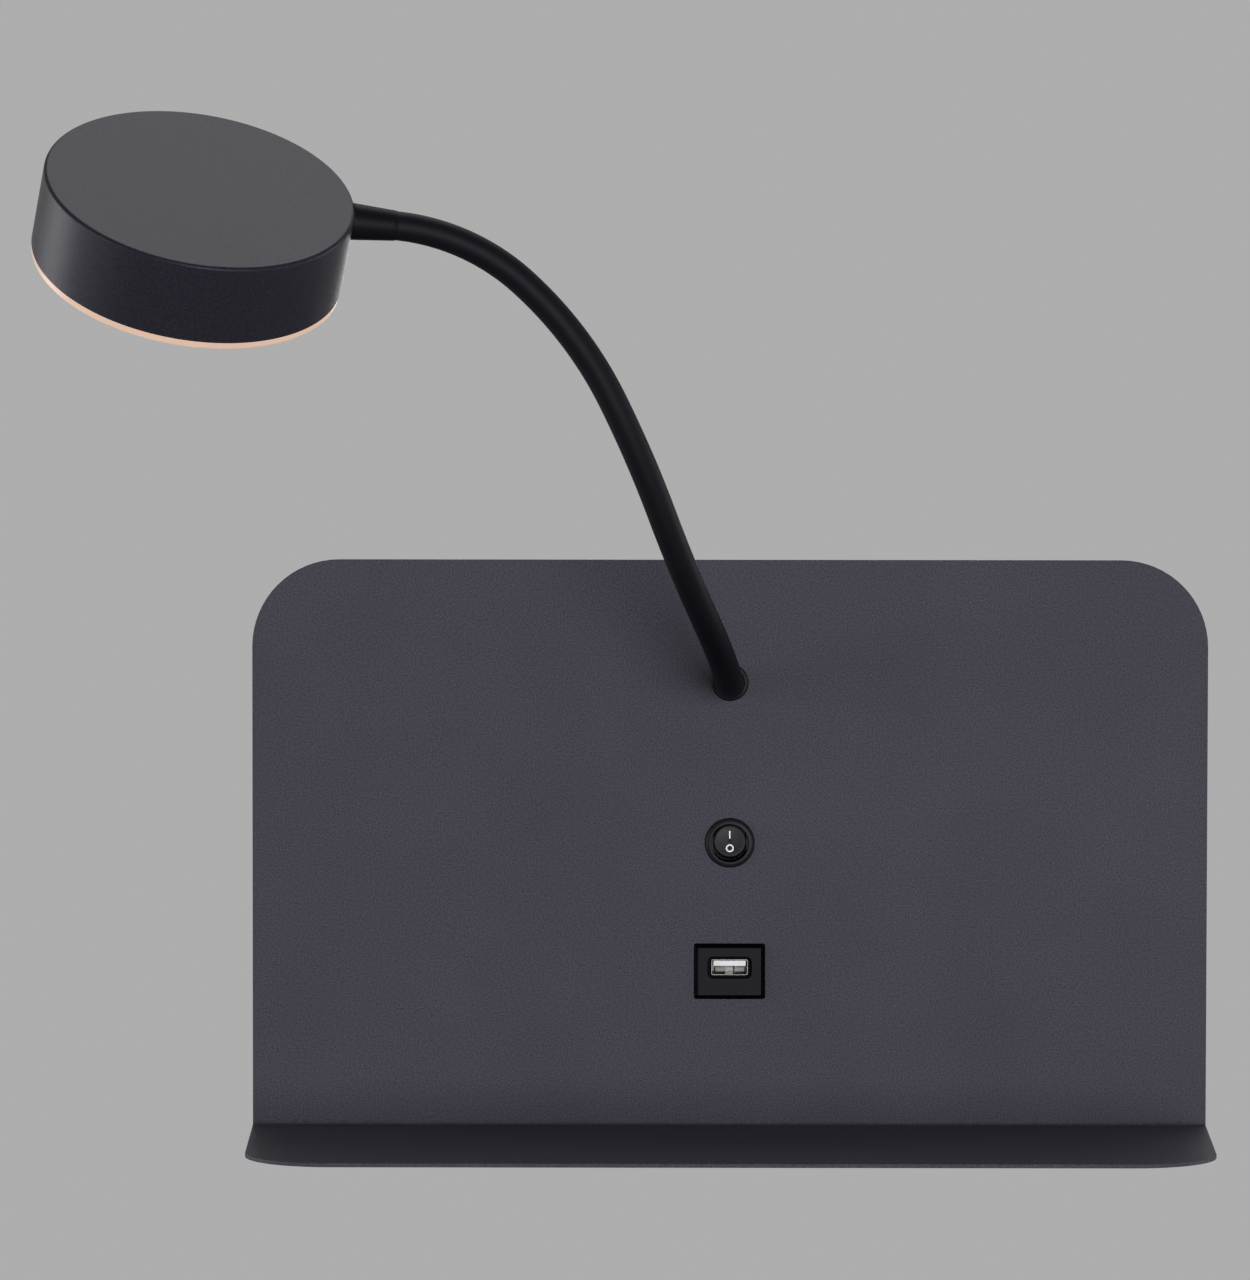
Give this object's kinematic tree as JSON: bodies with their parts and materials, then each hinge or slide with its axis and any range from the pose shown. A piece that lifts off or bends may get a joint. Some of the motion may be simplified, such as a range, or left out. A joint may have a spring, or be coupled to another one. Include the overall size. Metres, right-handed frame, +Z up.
{
  "type": "wall lamp with shelf",
  "caption": "Wall lamp: folded sheet panel with a shelf, rocker switch and USB socket, and a disc LED head on a bendable gooseneck arm.",
  "frame": {"origin": "On the wall plane, midway between the two wall screw slots of the bracket, at the height of the panel's middle", "axes": "+X to the right of someone facing the wall, +Y into the wall, +Z up; the lamp faces -Y"},
  "size_m": [0.4104, 0.2287, 0.3666],
  "materials": {
    "panel_coat": "fine-textured dark violet-grey powder coat",
    "zinc": "bright zinc plate",
    "bracket_zinc": "zinc-plated sheet",
    "black_screw": "blackened steel",
    "driver_case": "moulded case",
    "terminal_plastic": "moulded insulator",
    "switch_plastic": "satin moulded",
    "rocker_plastic": "satin moulded with white marks",
    "tinned_brass": "tinned",
    "socket_plastic": "moulded",
    "nickel_shell": "nickel-plated steel",
    "tongue_plastic": "moulded insulator",
    "gold_contact": "gold-plated",
    "circuit_board": "glass-fibre laminate with solder mask",
    "bush_coat": "black, satin",
    "arm_sleeve": "smooth black sleeve over steel conduit",
    "head_coat": "fine-textured dark powder coat",
    "collar_coat": "black powder coat",
    "led_board_white": "white solder mask on aluminium",
    "led_glow": "phosphor",
    "opal_diffuser": "opal acrylic, lit from behind"
  },
  "bodies": {
    "wall_unit": {"shelf_panel": "panel_coat", "rear_housing": "panel_coat", "panel_studs": "zinc", "stud_nuts": "zinc", "wall_bracket": "bracket_zinc", "side_screws": "black_screw", "led_driver": "driver_case", "terminal_block": "terminal_plastic", "terminal_clamp_screws": "zinc", "bracket_fixing_screws": "zinc", "switch_body": "switch_plastic", "switch_terminals": "tinned_brass", "usb_socket_body": "socket_plastic", "usb_shell": "nickel_shell", "usb_tongue": "tongue_plastic", "usb_contacts": "gold_contact", "usb_charger_board": "circuit_board", "arm_bush": "bush_coat", "arm_lock_washer": "zinc", "arm_nut": "zinc", "gooseneck_base": "arm_sleeve"},
    "rocker": {"switch_rocker": "rocker_plastic"},
    "arm_link_1": {"gooseneck_link_1": "arm_sleeve"},
    "arm_link_2": {"gooseneck_link_2": "arm_sleeve"},
    "arm_link_3": {"gooseneck_link_3": "arm_sleeve"},
    "arm_link_4": {"gooseneck_link_4": "arm_sleeve"},
    "arm_link_5": {"gooseneck_link_5": "arm_sleeve"},
    "lamp_head": {"gooseneck_end": "arm_sleeve", "head_housing": "head_coat", "arm_collar": "collar_coat", "collar_grub_screw": "zinc", "led_board": "led_board_white", "leds": "led_glow", "led_board_screws": "zinc", "diffuser": "opal_diffuser"}
  },
  "joints": [
    {"name": "rocker_switch", "type": "hinge", "parent": "wall_unit", "child": "rocker", "pos_m": [0, -0.02775, 0], "axis": [1, 0, 0], "range_deg": [0, 28]},
    {"name": "arm_bend_1", "type": "hinge", "parent": "wall_unit", "child": "arm_link_1", "pos_m": [0, -0.0374, 0.0573], "axis": [1, 0, 0], "range_deg": [-25, 25]},
    {"name": "arm_bend_2", "type": "hinge", "parent": "arm_link_1", "child": "arm_link_2", "pos_m": [-0.00128, -0.07114, 0.06341], "axis": [0, -0.3512, -0.9363], "range_deg": [-25, 25]},
    {"name": "arm_bend_3", "type": "hinge", "parent": "arm_link_2", "child": "arm_link_3", "pos_m": [-0.00994, -0.10918, 0.08788], "axis": [-0.9565, 0.2045, -0.2079], "range_deg": [-25, 25]},
    {"name": "arm_bend_4", "type": "hinge", "parent": "arm_link_3", "child": "arm_link_4", "pos_m": [-0.02499, -0.13512, 0.12631], "axis": [0, -0.9175, -0.3977], "range_deg": [-25, 25]},
    {"name": "arm_bend_5", "type": "hinge", "parent": "arm_link_4", "child": "arm_link_5", "pos_m": [-0.0415, -0.14759, 0.16504], "axis": [0.9026, -0.0893, 0.4212], "range_deg": [-25, 25]},
    {"name": "arm_bend_6", "type": "hinge", "parent": "arm_link_5", "child": "lamp_head", "pos_m": [-0.07223, -0.15666, 0.20625], "axis": [0, 0.9744, 0.225], "range_deg": [-25, 25]}
  ]
}
